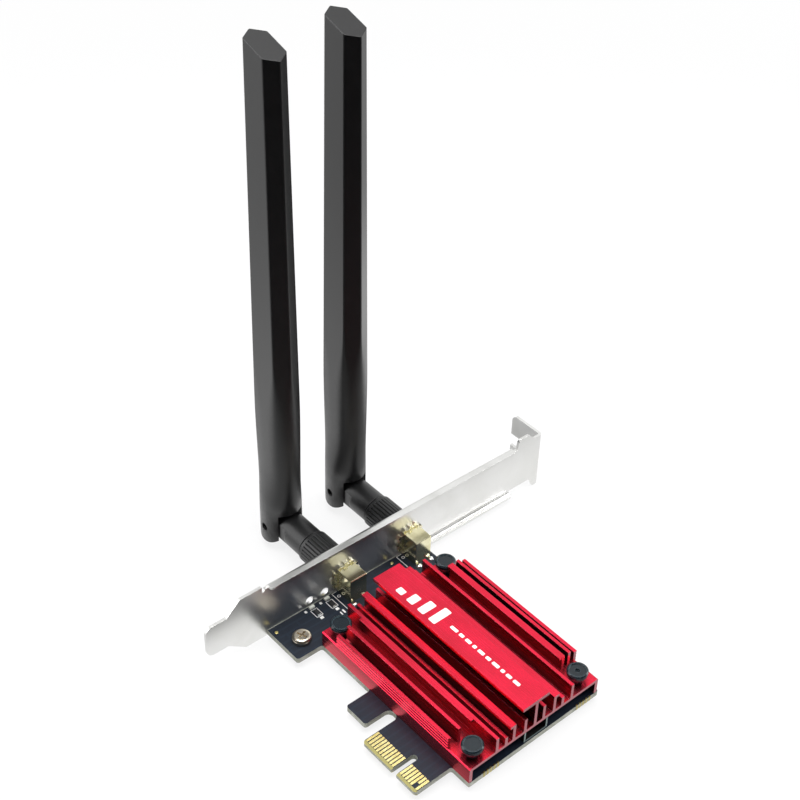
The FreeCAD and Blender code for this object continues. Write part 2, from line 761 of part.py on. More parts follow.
def makeCoupling(y):
    sleeve = rodX(couplingRadius, couplingEndX, couplingStartX, y, axisZ)
    rims = [e for e in sleeve.Edges if abs(e.CenterOfMass.y - y) < 0.01 and e.Length > couplingRadius * 6]
    sleeve = sleeve.makeChamfer(couplingEdge, rims)
    grooves = []
    halfAngle = knurlShare * 360 / knurlCount
    for i in range(knurlCount):
        points = []
        for angle, radius in ((-halfAngle, couplingRadius + 0.3), (0, couplingRadius - knurlDeep),
                              (halfAngle, couplingRadius + 0.3)):
            a = math.radians(i * 360 / knurlCount + angle)
            points.append((couplingEndX + knurlStart, y + radius * math.cos(a), axisZ + radius * math.sin(a)))
        grooves.append(slab(points, V(couplingLong - knurlStart - knurlEnd, 0, 0)))
    bore = rodX(insertRadius, cavityEndX, couplingStartX + 1, y, axisZ)
    throat = rodX(stemRadius + runClear, couplingEndX - 1, cavityEndX + 1, y, axisZ)
    return sleeve.cut(group(grooves)).cut(fuse([bore, throat]))


def makeInsert(y):
    insert = rodX(insertRadius, cavityEndX, couplingStartX - insertShort, y, axisZ)
    thread = rodX(barrelRadius + runClear, barrelEndX - 1, couplingStartX + 1, y, axisZ)
    cavity = rodX(plugFlange + runClear, cavityEndX - 1, barrelEndX - 0.15, y, axisZ)
    return insert.cut(fuse([thread, cavity]))


def makePlugBody(y):
    flange = rodX(plugFlange, flangeBackX, flangeFrontX, y, axisZ)
    stem = rodX(stemRadius, baseStartX - stemDeep, flangeBackX, y, axisZ)
    return fuse([flange, stem]).cut(rodX(plugBore, baseStartX - stemDeep - 1, flangeFrontX + 1, y, axisZ))


def makePlugInsulator(y):
    filling = rodX(plugBore, baseStartX - stemDeep, flangeFrontX, y, axisZ)
    return filling.cut(rodX(contactRadius, baseStartX - stemDeep - 1, flangeFrontX + 1, y, axisZ))


def makePlugPin(y):
    thick = rodX(contactRadius, baseStartX - stemDeep, flangeFrontX, y, axisZ)
    thin = rodX(plugPinRadius, flangeFrontX - 0.1, barrelEndX + insulatorShort + 3.0, y, axisZ)
    return fuse([thick, thin])


def makeSwivelBase(y):
    barrel = rodX(baseRadius, baseEndX, baseStartX, y, axisZ)
    shoulder = [e for e in barrel.Edges if abs(e.CenterOfMass.x - baseEndX) < 0.01]
    barrel = barrel.makeFillet(baseShoulder, shoulder)
    half = tongueThick / 2
    tongue = fuse([rodY(tongueRadius, y - half, y + half, pivotX, axisZ),
                   box(pivotX, baseEndX + 2, y - half, y + half, axisZ - tongueRadius, axisZ + tongueRadius)])
    limit = rodX(baseRadius, pivotX - 9, baseStartX, y, axisZ)
    tongue = tongue.common(limit)
    rounded = rodX(baseRadius, baseEndX + baseShoulder, baseStartX, y, axisZ)
    blockIn = box(baseEndX + baseShoulder, baseStartX, y - 9, y + 9, axisZ - 9, axisZ + 9)
    tongue = tongue.cut(blockIn.cut(rounded))
    boss = rodY(bossRadius, y - bossThick / 2, y + bossThick / 2, pivotX, axisZ)
    bore = rodY(pinRadius + runClear, y - 9, y + 9, pivotX, axisZ)
    seat = rodX(stemRadius, baseStartX - stemDeep, baseStartX + 1, y, axisZ)
    return fuse([barrel, tongue, boss]).cut(fuse([bore, seat]))


def between(low, high, share):
    return [a + (b - a) * share for a, b in zip(low, high)]


def eased(value, start, end):
    t = min(max((value - start) / (end - start), 0), 1)
    return t * t * (3 - 2 * t)


def bladeSection(z):
    """Six-sided section pointed along X: wide and rounded at the fork, slim and crisp higher up."""
    neck = bladeNeckZ - axisZ
    if z < neck:
        size = between(bladeRoot, bladeNeck, eased(z, forkRoof, neck))
    else:
        size = between(bladeNeck, bladeHigh, (z - neck) / (bladeTopZ - bladeNeckZ))
    longHalf, flatHalf, wideHalf = size
    corner = rootCorner + (stickCorner - rootCorner) * eased(z, forkRoof, crispZ - axisZ)
    points = [(-flatHalf, -wideHalf), (flatHalf, -wideHalf), (longHalf, 0),
              (flatHalf, wideHalf), (-flatHalf, wideHalf), (-longHalf, 0)]
    ring = []
    for i in range(6):
        here = V(points[i][0], points[i][1], z)
        before = V(points[i - 1][0], points[i - 1][1], z)
        after = V(points[(i + 1) % 6][0], points[(i + 1) % 6][1], z)
        toBefore = (before - here).normalize()
        toAfter = (after - here).normalize()
        half = toBefore.getAngle(toAfter) / 2
        centre = here + (toBefore + toAfter).normalize() * (corner / math.sin(half))
        first = here + toBefore * (corner / math.tan(half)) - centre
        turn = math.pi - 2 * half
        for step in range(cornerSteps + 1):
            angle = turn * step / cornerSteps
            ring.append(centre + V(first.x * math.cos(angle) - first.y * math.sin(angle),
                                   first.x * math.sin(angle) + first.y * math.cos(angle), 0))
    return Part.makePolygon(ring + [ring[0]])


def makeBlade(y):
    """Built with its pivot at the origin and its length along +Z, then put in place."""
    length = bladeTopZ - axisZ
    crisp = crispZ - axisZ
    over = length + 6
    foot = Part.Face(bladeSection(-forkRadius - 1)).extrude(V(0, 0, forkRadius + 1 + forkRoof))
    heights = [forkRoof + (crisp - forkRoof) * step / swellSteps for step in range(swellSteps + 1)]
    swell = Part.makeLoft([bladeSection(z) for z in heights], True, True)
    shaft = Part.makeLoft([bladeSection(crisp), bladeSection(over)], True, True)
    body = fuse([foot, swell, shaft])
    lobe = roundedSlab([(-forkRadius, -9, over + 1), (-forkRadius, -9, -lobeLow), (forkRadius, -9, -lobeLow),
                        (forkRadius, -9, over + 1)], [0, lobeRound, lobeRound, 0], V(0, 18, 0))
    body = body.common(fuse([lobe, box(-9, 9, -9, 9, forkRoof, over + 1)]))
    gap = bossThick / 2 + forkSide
    slot = box(-9, 9, -gap, gap, -forkRadius - 2, forkRoof)
    tip = slab([(-9, -9, length + 9 * bladeTopSlope), (9, -9, length - 9 * bladeTopSlope),
                (9, -9, over + 9), (-9, -9, over + 9)], V(0, 18, 0))
    hole = rodY(pinRadius, -9, 9, 0, 0)
    room = radiatorRoom
    hollow = box(-radiatorWide / 2 - room, radiatorWide / 2 + room, -radiatorThick / 2 - room,
                 radiatorThick / 2 + room, forkRoof + radiatorStart - room, length - radiatorEnd + room)
    body = body.cut(slot).cut(tip).cut(hole).cut(hollow)
    body.translate(V(pivotX, y, axisZ))
    return body


def makeRadiator(y):
    strip = box(-radiatorWide / 2, radiatorWide / 2, -radiatorThick / 2, radiatorThick / 2,
                forkRoof + radiatorStart - radiatorRoom, bladeTopZ - axisZ - radiatorEnd)
    strip.translate(V(pivotX, y, axisZ))
    return strip


def makePivotPin(y):
    return rodY(pinRadius, y - pinHalf, y + pinHalf, pivotX, axisZ)


def makeModuleBoard():
    half = moduleWide / 2
    card = box(moduleBackX, moduleFrontX, moduleMidY - half, moduleMidY + half, moduleLowZ, moduleTopZ)
    notch = rodZ(moduleNotch, moduleLowZ - 1, moduleTopZ + 1, moduleBackX, moduleMidY)
    key = box(moduleFrontX - 3, moduleFrontX + 1, moduleMidY + 4.4, moduleMidY + 5.6,
              moduleLowZ - 1, moduleTopZ + 1)
    return cut(card, [notch, key])


def makeShield():
    half = shieldWide / 2
    x0 = shieldBackX
    x1 = shieldBackX + shieldLong
    can = box(x0, x1, moduleMidY - half, moduleMidY + half, moduleTopZ, shieldTopZ)
    upright = [e for e in can.Edges if abs(e.Vertexes[0].Z - e.Vertexes[-1].Z) > 0.5]
    can = can.makeFillet(0.5, upright)
    inside = box(x0 + shieldSheet, x1 - shieldSheet, moduleMidY - half + shieldSheet,
                 moduleMidY + half - shieldSheet, moduleTopZ - 1, shieldTopZ - shieldSheet)
    return can.cut(inside)


def makeSocket():
    half = moduleWide / 2
    body = box(socketBackX, socketFrontX, moduleMidY - half - socketSide, moduleMidY + half + socketSide,
               topZ, socketTopZ)
    slot = box(socketBackX - 1, moduleFrontX + 0.05, moduleMidY - half - 0.05, moduleMidY + half + 0.05,
               moduleLowZ, moduleTopZ)
    lead = slab([(socketBackX - 0.1, 0, moduleTopZ), (socketBackX + 1.0, 0, moduleTopZ),
                 (socketBackX - 0.1, 0, moduleTopZ + 0.5)], V(0, moduleWide, 0))
    lead.translate(V(0, moduleMidY - half, 0))
    return cut(body, [slot, lead])


def makeStandoff():
    post = rodZ(standoffRadius, topZ, moduleLowZ, moduleBackX, moduleMidY)
    return post.cut(rodZ(holdScrewRadius + 0.03, topZ - 1, moduleLowZ + 1, moduleBackX, moduleMidY))


def makeHoldScrew():
    head = rodZ(holdHeadRadius, moduleTopZ, moduleTopZ + holdHeadHigh, moduleBackX, moduleMidY)
    shank = rodZ(holdScrewRadius, topZ + 0.1, moduleTopZ, moduleBackX, moduleMidY)
    cross = []
    for angle in (0, 90):
        wing = box(-1.1, 1.1, -0.25, 0.25, moduleTopZ + 0.2, moduleTopZ + 2)
        wing.rotate(V(0, 0, 0), V(0, 0, 1), angle)
        wing.translate(V(moduleBackX, moduleMidY, 0))
        cross.append(wing)
    return cut(fuse([head, shank]), cross)


def cableEnds():
    upper = moduleTopZ + receptacleHigh + plugHigh
    lower = topZ + receptacleHigh + plugHigh
    return moduleBackX + 2.2, upper - plugHigh / 2, lower - plugHigh / 2


def makePigtail(y):
    """Short coaxial lead from the radio module down to the board, straight runs and tangent arcs."""
    startX, z0, z1 = cableEnds()
    endX = cableEndX
    lowX = endX + 4.0
    highX = startX - 5.0
    points = [V(startX, y, z0), V(highX, y, z0), V(lowX, y, z1), V(endX, y, z1)]
    first = (points[0] - points[1]).normalize()
    slope = (points[2] - points[1]).normalize()
    turn = math.pi - first.getAngle(slope)
    run = cableBend * math.tan(turn / 2) * 2
    edges = []
    here = points[0]
    for i in (1, 2):
        back = (points[i - 1] - points[i]).normalize()
        ahead = (points[i + 1] - points[i]).normalize()
        half = back.getAngle(ahead) / 2
        radius = run * math.tan(half)
        into = points[i] + back * run
        out = points[i] + ahead * run
        middle = points[i] + (back + ahead).normalize() * (radius / math.sin(half) - radius)
        edges.append(Part.LineSegment(here, into).toShape())
        edges.append(Part.Arc(into, middle, out).toShape())
        here = out
    edges.append(Part.LineSegment(here, points[3]).toShape())
    path = Part.Wire(edges)
    ring = Part.Wire([Part.Circle(points[0], V(1, 0, 0), cableRadius).toShape()])
    lead = path.makePipeShell([ring], True, False)
    half = plugHigh / 2
    upperPlug = rodZ(plugRadius, z0 - half, z0 + half, startX, y)
    lowerPlug = rodZ(plugRadius, z1 - half, z1 + half, endX, y)
    return fuse([lead, upperPlug, lowerPlug])


def makeReceptacles(x, z):
    return [rodZ(receptacleRadius, z, z + receptacleHigh, x, moduleMidY + s * cableOffset) for s in (-1, 1)]


def makeHeader():
    shell = box(headerBackX, headerFrontX, headerStartY, headerEndY, topZ, headerTopZ)
    inside = box(headerBackX + headerBackWall, headerFrontX + 1, headerStartY + headerWall,
                 headerEndY - headerWall, topZ + headerFloor, headerTopZ - headerWall)
    roof = box(headerFrontX - headerRoofBack, headerFrontX + 1, headerStartY + headerWall,
               headerEndY - headerWall, headerTopZ - headerWall - 0.1, headerTopZ + 1)
    return cut(shell, [inside, roof] + headerPinRods())


def headerPinRods():
    half = headerPin / 2
    middle = (headerStartY + headerEndY) / 2
    z = (topZ + headerTopZ) / 2
    pins = []
    for i in range(headerPins):
        y = middle + (i - (headerPins - 1) / 2) * headerPinPitch
        back = headerBackX - headerPinBack
        pins.append(box(back, headerFrontX - headerBackWall, y - half, y + half, z - half, z + half))
        pins.append(box(back - half, back + half, y - half, y + half, topZ, z + half))
    return pins


def makeHeaderPins():
    rods = headerPinRods()
    return group([fuse(rods[i:i + 2]) for i in range(0, len(rods), 2)])


def blockOn(centre, size, z):
    x, y = centre
    return box(x - size[0] / 2, x + size[0] / 2, y - size[1] / 2, y + size[1] / 2, z, z + size[2])


def bevelledBlock(centre, size, z, radius):
    block = blockOn(centre, size, z)
    return block.makeChamfer(radius, [e for e in block.Edges if e.CenterOfMass.z > z + 0.01])


save("circuit_board", makeBoard())
save("contacts_top", makeContacts(topZ))
save("contacts_bottom", makeContacts(lowZ - foilThick))
save("edge_pads", makeEdgePads())
save("bracket", makeBracket())
save("board_screw", makeBoardScrew())
save("heat_sink", makeHeatSink())
save("thermal_pad", makeThermalPad())
save("rivet_sleeves", group([rivetSleeve(x, y) for x in rivetX for y in rivetY]))
save("rivet_plungers", group([rivetPlunger(x, y, x == rivetX[1] and y == rivetY[1])
                              for x in rivetX for y in rivetY]))
save("module_board", makeModuleBoard())
save("module_shield", makeShield())
save("module_socket", makeSocket())
save("module_standoff", makeStandoff())
save("module_screw", makeHoldScrew())
save("module_receptacles", group(makeReceptacles(cableEnds()[0], moduleTopZ)))
save("board_receptacles", group(makeReceptacles(cableEndX, topZ)))
save("coaxial_leads", group([makePigtail(moduleMidY + s * cableOffset) for s in (-1, 1)]))
save("header_shroud", makeHeader())
save("header_pins", makeHeaderPins())
save("regulator_chip", bevelledBlock(regulatorAt, regulatorSize, topZ, 0.15))
save("power_inductor", bevelledBlock(inductorAt, inductorSize, topZ, 0.4))
save("chip_capacitors", group([blockOn((x, capacitorY), capacitorSize, topZ) for x in capacitorRow]))
save("status_lamps", group([blockOn((lampX, y), lampSize, topZ) for y in lampY]))
save("chip_resistors", group([blockOn((resistorX, y), resistorSize, topZ) for y in lampY]))
save("lock_washers", group([toothedWasher(y) for y in jackY]))
save("jack_nuts", group([hexNut(y) for y in jackY]))
save("solder_joints", makeSolderJoints())
for number, place in enumerate(jackY, 1):
    save("jack_body_%d" % number, makeJackBody(place))
    save("jack_insulator_%d" % number, makeJackInsulator(place))
    save("jack_contact_%d" % number, makeJackContact(place))
    save("coupling_nut_%d" % number, makeCoupling(place))
    save("coupling_insert_%d" % number, makeInsert(place))
    save("plug_body_%d" % number, makePlugBody(place))
    save("plug_insulator_%d" % number, makePlugInsulator(place))
    save("plug_pin_%d" % number, makePlugPin(place))
    save("aerial_base_%d" % number, makeSwivelBase(place))
    save("pivot_pin_%d" % number, makePivotPin(place))
    save("aerial_blade_%d" % number, makeBlade(place))
    save("radiator_%d" % number, makeRadiator(place))
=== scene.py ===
import bpy
import bmesh
import math
from mathutils import Matrix, Vector


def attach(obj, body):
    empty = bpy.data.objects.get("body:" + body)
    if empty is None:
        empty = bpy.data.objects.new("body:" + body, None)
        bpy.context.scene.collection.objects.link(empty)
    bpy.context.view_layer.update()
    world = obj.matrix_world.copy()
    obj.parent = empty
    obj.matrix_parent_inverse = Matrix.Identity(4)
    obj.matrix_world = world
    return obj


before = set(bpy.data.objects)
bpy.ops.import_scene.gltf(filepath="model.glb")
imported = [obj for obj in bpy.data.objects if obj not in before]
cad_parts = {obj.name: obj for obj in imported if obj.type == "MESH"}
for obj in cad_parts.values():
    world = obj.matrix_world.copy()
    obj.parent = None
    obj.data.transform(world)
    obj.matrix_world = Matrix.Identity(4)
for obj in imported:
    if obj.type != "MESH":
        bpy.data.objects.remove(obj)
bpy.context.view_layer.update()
mm = 0.001
bevelSamples = 4
cornerSegments = 4
broadDetail = 2.0  # octaves of noise for slow drifts
fineDetail = 3.0  # and for fine marks
print("frame loaded:", len(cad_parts), "nodes")


# Helpers

def linearColour(hexText):  # sRGB hex to the linear numbers that shaders use
    parts = [int(hexText[i:i + 2], 16) / 255 for i in (1, 3, 5)]
    return [p / 12.92 if p <= 0.04045 else ((p + 0.055) / 1.055) ** 2.4 for p in parts] + [1]


def addNode(tree, kind, settings=None, values=None, links=None):
    node = tree.nodes.new(kind)
    for name, value in (settings or {}).items():
        setattr(node, name, value)
    for socket, value in (values or {}).items():
        node.inputs[socket].default_value = value
    for socket, source in (links or {}).items():
        tree.links.new(source, node.inputs[socket])
    return node


def newMaterial(name, values):
    material = bpy.data.materials.new(name)
    material.use_nodes = True
    tree = material.node_tree
    tree.nodes.clear()
    shader = addNode(tree, "ShaderNodeBsdfPrincipled", values=values)
    addNode(tree, "ShaderNodeOutputMaterial", links={"Surface": shader.outputs["BSDF"]})
    return material, tree, shader


def patternPlace(tree, scale, turn=(0, 0, 0)):  # object coordinates, stretched or turned
    place = addNode(tree, "ShaderNodeTexCoord")
    return addNode(tree, "ShaderNodeMapping", values={"Scale": scale, "Rotation": turn},
                   links={"Vector": place.outputs["Object"]}).outputs["Vector"]


def placeAxes(tree):  # how far the point lies from the origin along X, Y and Z, in metres
    place = addNode(tree, "ShaderNodeTexCoord").outputs["Object"]
    return addNode(tree, "ShaderNodeSeparateXYZ", links={"Vector": place}).outputs


def noise(tree, place, detail=broadDetail, roughness=0.5, distortion=0.0):
    return addNode(tree, "ShaderNodeTexNoise",
                   values={"Scale": 1.0, "Detail": detail, "Roughness": roughness, "Distortion": distortion},
                   links={"Vector": place}).outputs["Fac"]


def remap(tree, source, low, high, ends=(0.0, 1.0), kind="LINEAR"):
    return addNode(tree, "ShaderNodeMapRange", {"interpolation_type": kind},
                   values={"From Min": ends[0], "From Max": ends[1], "To Min": low, "To Max": high},
                   links={"Value": source}).outputs["Result"]


def absolute(tree, source):
    return addNode(tree, "ShaderNodeMath", {"operation": "ABSOLUTE"}, links={0: source}).outputs[0]


def compare(tree, operation, source, limit):
    return addNode(tree, "ShaderNodeMath", {"operation": operation}, values={1: limit},
                   links={0: source}).outputs[0]


def combine(tree, operation, first, second):
    return addNode(tree, "ShaderNodeMath", {"operation": operation}, links={0: first, 1: second}).outputs[0]


def ramp(tree, source, stops):
    node = addNode(tree, "ShaderNodeValToRGB", links={"Fac": source})
    elements = node.color_ramp.elements
    elements.remove(elements[1])
    elements[0].position, elements[0].color = stops[0]
    for position, colour in stops[1:]:
        elements.new(position).color = colour
    return node.outputs["Color"]


def greyRamp(tree, source, stops):
    return ramp(tree, source, [(position, grey(value)) for position, value in stops])


def twoTone(tree, source, stops, dark, light):
    return ramp(tree, source, [(stops[0], linearColour(dark)), (stops[1], linearColour(light))])


def grey(value):
    return [value, value, value, 1]


def blend(tree, share, under, over, kind="MIX"):  # colours come as sockets or as hex
    node = addNode(tree, "ShaderNodeMix", {"data_type": "RGBA", "blend_type": kind})
    for socket, value in ((0, share), (6, under), (7, over)):
        if isinstance(value, bpy.types.NodeSocket):
            tree.links.new(value, node.inputs[socket])
        else:
            node.inputs[socket].default_value = linearColour(value) if isinstance(value, str) else value
    return node.outputs[2]


def softEdges(tree, radius):  # normals that round every corner off by that radius
    return addNode(tree, "ShaderNodeBevel", {"samples": bevelSamples}, values={"Radius": radius})


def edgeShare(tree, soft, turn, share):  # rises where the softened normal leaves the true one
    flat = addNode(tree, "ShaderNodeNewGeometry").outputs["Normal"]
    leaning = addNode(tree, "ShaderNodeVectorMath", {"operation": "DOT_PRODUCT"},
                      links={0: soft.outputs["Normal"], 1: flat})
    return remap(tree, leaning.outputs["Value"], 0.0, share, turn)


def relief(tree, height, strength, deep, soft=None):
    links = {"Height": height}
    if soft:
        links["Normal"] = soft.outputs["Normal"]
    return addNode(tree, "ShaderNodeBump", values={"Strength": strength, "Distance": deep},
                   links=links).outputs["Normal"]


def coat(tree, shader, colour, rough, normal):
    tree.links.new(colour, shader.inputs["Base Color"])
    tree.links.new(rough, shader.inputs["Roughness"])
    tree.links.new(normal, shader.inputs["Normal"])


def topOf(nodeName):  # highest point of a CAD piece, in millimetres
    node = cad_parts[nodeName]
    return max((node.matrix_world @ vertex.co).z for vertex in node.data.vertices) / mm


def dress(nodeNames, material):
    for name in nodeNames:
        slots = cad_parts[name].data.materials
        slots.clear()
        slots.append(material)


def both(*stems):
    return [stem + "_" + side for stem in stems for side in "12"]


def finishPiece(mesh, name, material, body):
    data = bpy.data.meshes.new(name)
    bmesh.ops.recalc_face_normals(mesh, faces=mesh.faces)
    mesh.to_mesh(data)
    mesh.free()
    data.materials.append(material)
    piece = bpy.data.objects.new(name, data)
    bpy.context.scene.collection.objects.link(piece)
    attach(piece, body)
    return piece


def addTile(mesh, centre, size, corner=0.0):  # flat tile in millimetres, corners seen from above rounded
    made = bmesh.ops.create_cube(mesh, size=1)["verts"]
    bmesh.ops.scale(mesh, vec=[s * mm for s in size], verts=made)
    bmesh.ops.translate(mesh, vec=[c * mm for c in centre], verts=made)
    if corner > 0:
        upright = [e for e in {e for v in made for e in v.link_edges}
                   if abs(e.verts[0].co.z - e.verts[1].co.z) > size[2] * mm * 0.5]
        bmesh.ops.bevel(mesh, geom=upright, offset=corner * mm, segments=cornerSegments,
                        profile=0.5, affect="EDGES", material=-1)


# Camera, matched to the photo's viewing angle

cameraValues = {"place": (0.169178, -0.147583, 0.292784),
                "right": (0.684463, 0.725811, 0.068618),
                "down": (0.473751, -0.371265, -0.798576),
                "forward": (-0.554139, 0.579103, -0.597970),
                "focalPixels": 1450.95, "centrePixels": (511.5, 368.9), "frame": 800,
                "sensor": 36, "clip": (0.01, 20)}


def makeCamera():
    c = cameraValues
    lens = bpy.data.cameras.new("photoCamera")
    lens.sensor_width = c["sensor"]
    lens.lens = c["focalPixels"] / c["frame"] * c["sensor"]
    lens.shift_x = 0.5 - c["centrePixels"][0] / c["frame"]
    lens.shift_y = c["centrePixels"][1] / c["frame"] - 0.5
    lens.clip_start, lens.clip_end = c["clip"]
    camera = bpy.data.objects.new("photoCamera", lens)
    bpy.context.scene.collection.objects.link(camera)
    axes = Matrix((c["right"], [-v for v in c["down"]], [-v for v in c["forward"]])).transposed()
    camera.matrix_world = Matrix.Translation(c["place"]) @ axes.to_4x4()
    bpy.context.scene.camera = camera


makeCamera()
print("camera ready")


# Light, world and floor

lightValues = {
    "top": {"place": (-0.05, 0.02, 0.62), "aim": (-0.03, 0.03, 0.0), "size": (0.5, 0.5), "power": 4.2,
            "mirrored": True},
    "left": {"place": (-0.45, -0.42, 0.30), "aim": (-0.06, 0.03, 0.06), "size": (0.35, 0.6), "power": 2.0,
             "mirrored": True},
    "right": {"place": (0.25, 0.62, 0.30), "aim": (-0.05, 0.05, 0.06), "size": (0.3, 0.6), "power": 2.5,
              "mirrored": True},
    "front": {"place": (0.48, -0.20, 0.34), "aim": (-0.01, 0.03, 0.0), "size": (0.35, 0.3), "power": 0.7,
              "mirrored": False}}
surroundValues = {
    "floorZ": -2.72, "floorSize": 3.0, "floorWhite": "#f4f4f4", "floorGlow": 0.80, "shown": 1.0,
    "fill": 0.25, "fillColour": "#eef1f5",
    # the screen that reflections see
    "glowToward": (-0.27, 0.80, 0.54), "glowReach": (0.1, 0.95), "glowLow": 0.06, "glowHigh": 0.92,
    # the floor: distances in metres, then brightness along X and Y as it shows in reflections
    "whiteReach": (0.25, 0.6), "reachX": (-0.25, 0.15), "reachY": (0.0, 0.25),
    "leftStops": ((0.06, 0.96), (0.20, 1.20), (0.29, 1.32), (0.36, 1.28), (0.42, 1.12), (0.46, 0.0)),
    "backStops": ((0.15, 1.0), (0.37, 0.40), (0.47, 1.00), (0.58, 1.70), (0.69, 1.75), (0.88, 1.05),
                  (0.98, 0.80)),
    "rightStops": ((0.43, 0.0), (0.47, 0.90), (0.575, 0.82), (0.64, 0.40), (0.72, 0.28), (0.79, 0.18),
                   (0.85, 0.08), (0.91, 0.024)),
    "nearBoost": 0.12, "nearReach": (0.015, 0.032),
    "shadeX": -0.045, "shadeY": (0.002, 0.014), "shade": 0.20}


def whenRay(tree, kind, other, seen):  # picks the second shader for rays of that kind
    path = addNode(tree, "ShaderNodeLightPath")
    return addNode(tree, "ShaderNodeMixShader",
                   links={0: path.outputs[kind], 1: other, 2: seen}).outputs[0]


def makeLights():
    for name, v in lightValues.items():
        lamp = bpy.data.lights.new(name + "Softbox", "AREA")
        lamp.shape = "RECTANGLE"
        lamp.size, lamp.size_y = v["size"]
        lamp.energy = v["power"]
        holder = bpy.data.objects.new(name + "Softbox", lamp)
        holder.location = v["place"]
        holder.rotation_euler = (Vector(v["aim"]) - Vector(v["place"])).to_track_quat("-Z", "Y").to_euler()
        holder.visible_glossy = v["mirrored"]
        bpy.context.scene.collection.objects.link(holder)


def makeWorld():
    world = bpy.data.worlds.new("studio")
    bpy.context.scene.world = world
    world.use_nodes = True
    tree = world.node_tree
    tree.nodes.clear()
    v = surroundValues
    fill = addNode(tree, "ShaderNodeBackground",
                   values={"Color": linearColour(v["fillColour"]), "Strength": v["fill"]})
    shown = addNode(tree, "ShaderNodeBackground", values={"Color": grey(1), "Strength": v["shown"]})
    # reflections see a wide bright screen behind the aerials that fades out towards the camera
    place = addNode(tree, "ShaderNodeTexCoord").outputs["Generated"]
    toward = addNode(tree, "ShaderNodeVectorMath", {"operation": "DOT_PRODUCT"}, values={1: v["glowToward"]},
                     links={0: place})
    glow = remap(tree, toward.outputs["Value"], v["glowLow"], v["glowHigh"], v["glowReach"], "SMOOTHSTEP")
    screen = addNode(tree, "ShaderNodeBackground", values={"Color": grey(1)}, links={"Strength": glow})
    inGloss = whenRay(tree, "Is Glossy Ray", fill.outputs[0], screen.outputs[0])
    inView = whenRay(tree, "Is Camera Ray", inGloss, shown.outputs[0])
    addNode(tree, "ShaderNodeOutputWorld", links={"Surface": inView})


def makeFloor():
    v = surroundValues
    mesh = bmesh.new()
    bmesh.ops.create_grid(mesh, x_segments=2, y_segments=2, size=v["floorSize"])
    bmesh.ops.translate(mesh, vec=(0, 0, v["floorZ"] * mm), verts=mesh.verts)
    data = bpy.data.meshes.new("paleFloor")
    mesh.to_mesh(data)
    mesh.free()
    floor = bpy.data.objects.new("paleFloor", data)
    bpy.context.scene.collection.objects.link(floor)
    material = bpy.data.materials.new("paleFloorPaper")
    material.use_nodes = True
    data.materials.append(material)
    tree = material.node_tree
    tree.nodes.clear()
    place = addNode(tree, "ShaderNodeNewGeometry").outputs["Position"]
    axes = addNode(tree, "ShaderNodeSeparateXYZ", links={"Vector": place}).outputs
    away = addNode(tree, "ShaderNodeVectorMath", {"operation": "LENGTH"}, links={0: place}).outputs["Value"]
    # seen directly, the paper takes a faint shadow near the card and turns pure white further out
    paper = addNode(tree, "ShaderNodeBsdfDiffuse", values={"Color": linearColour(v["floorWhite"])})
    glow = addNode(tree, "ShaderNodeEmission", values={"Color": grey(1), "Strength": v["shown"]})
    white = remap(tree, away, v["floorGlow"], 1.0, v["whiteReach"], "SMOOTHSTEP")
    lit = addNode(tree, "ShaderNodeMixShader",
                  links={0: white, 1: paper.outputs[0], 2: glow.outputs[0]})
    # in reflections the floor glows with painted light: brightest left of the card, fading to the right, and
    # a painted shade dims it in front of it
    alongX = remap(tree, axes["X"], 0.0, 1.0, v["reachX"])
    alongY = remap(tree, axes["Y"], 0.0, 1.0, v["reachY"])
    left = greyRamp(tree, alongX, v["leftStops"])
    back = greyRamp(tree, alongY, v["backStops"])
    right = greyRamp(tree, alongX, v["rightStops"])
    length = addNode(tree, "ShaderNodeLightPath").outputs["Ray Length"]
    near = remap(tree, length, v["nearBoost"], 0.0, v["nearReach"], "SMOOTHSTEP")
    paintedShadeBeside = remap(tree, axes["Y"], v["shade"], 1.0, v["shadeY"], "SMOOTHSTEP")
    behind = compare(tree, "LESS_THAN", axes["X"], v["shadeX"])
    spread = combine(tree, "ADD", combine(tree, "MULTIPLY", left, back), right)
    strength = combine(tree, "MULTIPLY", combine(tree, "ADD", spread, near),
                       combine(tree, "MAXIMUM", paintedShadeBeside, behind))
    mirrored = addNode(tree, "ShaderNodeEmission", values={"Color": grey(1)}, links={"Strength": strength})
    inGloss = whenRay(tree, "Is Glossy Ray", paper.outputs[0], mirrored.outputs[0])
    inView = whenRay(tree, "Is Camera Ray", inGloss, lit.outputs[0])
    addNode(tree, "ShaderNodeOutputMaterial", links={"Surface": inView})


makeLights()
makeWorld()
makeFloor()
bpy.context.scene.view_settings.view_transform = "Standard"
print("studio ready")


# Finishes. Pattern scales are one over the real size in metres.

anodisedValues = {"red": "#f2063c", "deep": "#dd0432", "toneStops": (0.3, 0.62), "cloudLong": 11.1 * mm,
                  "cloudWide": 6.25 * mm, "cutEnd": "#f096a0", "endFacing": 0.9, "lineSize": 0.12 * mm,
                  "lineLength": 40 * mm, "lineSharp": 0.6, "lineBump": 0.10, "lineDeep": 0.04 * mm,
                  "edge": 0.05 * mm, "rough": (0.20, 0.32), "coat": 0.6, "coatIndex": 1.5,
                  "channelShadeReach": 5 * mm, "channelShadeStops": ((0.25, 0.20), (0.80, 1.0)), "channelShadeSamples": 8,
                  "edgeHighlight": "#ff8c9c", "edgeHighlightTurn": (0.99, 0.85), "edgeHighlightShare": 0.8}


